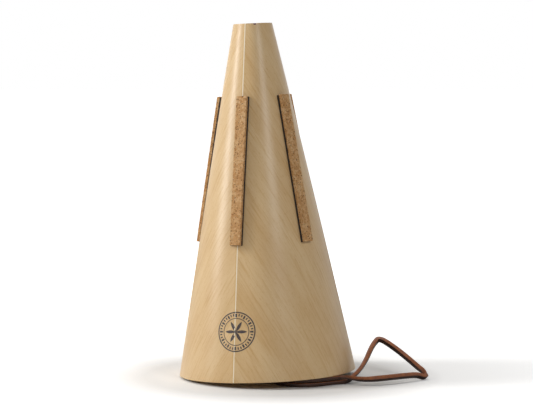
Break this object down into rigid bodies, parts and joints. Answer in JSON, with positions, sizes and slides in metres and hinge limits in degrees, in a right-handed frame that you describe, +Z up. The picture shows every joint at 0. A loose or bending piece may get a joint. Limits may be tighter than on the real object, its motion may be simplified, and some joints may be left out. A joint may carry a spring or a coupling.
{
  "type": "horn practice mute",
  "caption": "Long wooden cone mute for a horn, with cork strips along its side, a bored narrow end, and a knotted leather hand loop hung from its wide end.",
  "frame": {"origin": "the point on the floor straight below the middle of the wide end", "axes": "+Z up, close to the cone's own axis, which leans 2.9 degrees; -Y towards the viewer of the picture, +X to the right"},
  "size_m": [0.1603, 0.1147, 0.2302],
  "materials": {
    "maple_veneer": "satin varnish over pale bent veneer",
    "birch_plywood": "bare sanded plywood",
    "padauk": "oiled dark red hardwood",
    "brass": "drawn tube",
    "cork": "cut composition cork",
    "leather": "dark brown waxed square lace"
  },
  "bodies": {
    "mute_body": {"cone_shell": "maple_veneer", "seam_batten": "maple_veneer", "base_disc": "birch_plywood", "base_hoop": "birch_plywood", "throat_ring": "padauk", "inner_tube": "brass", "cork_strip_left": "cork", "cork_strip_front": "cork", "cork_strip_right": "cork", "cork_strip_rear_right": "cork", "cork_strip_rear_left": "cork"},
    "lace_tails": {"lace_knot": "leather", "lace_tail_upper": "leather", "lace_tail_lower": "leather"},
    "loop": {"hand_loop": "leather"}
  },
  "joints": [
    {"name": "lace_swivel", "type": "hinge", "parent": "mute_body", "child": "lace_tails", "pos_m": [0, 0, 0.0029], "axis": [-0.0427, 0.0278, 0.9987], "range_deg": [-35, 35]},
    {"name": "loop_swing", "type": "hinge", "parent": "lace_tails", "child": "loop", "pos_m": [0.047, -0.0343, 0], "axis": [0, 0, 1], "range_deg": [-45, 12]}
  ]
}
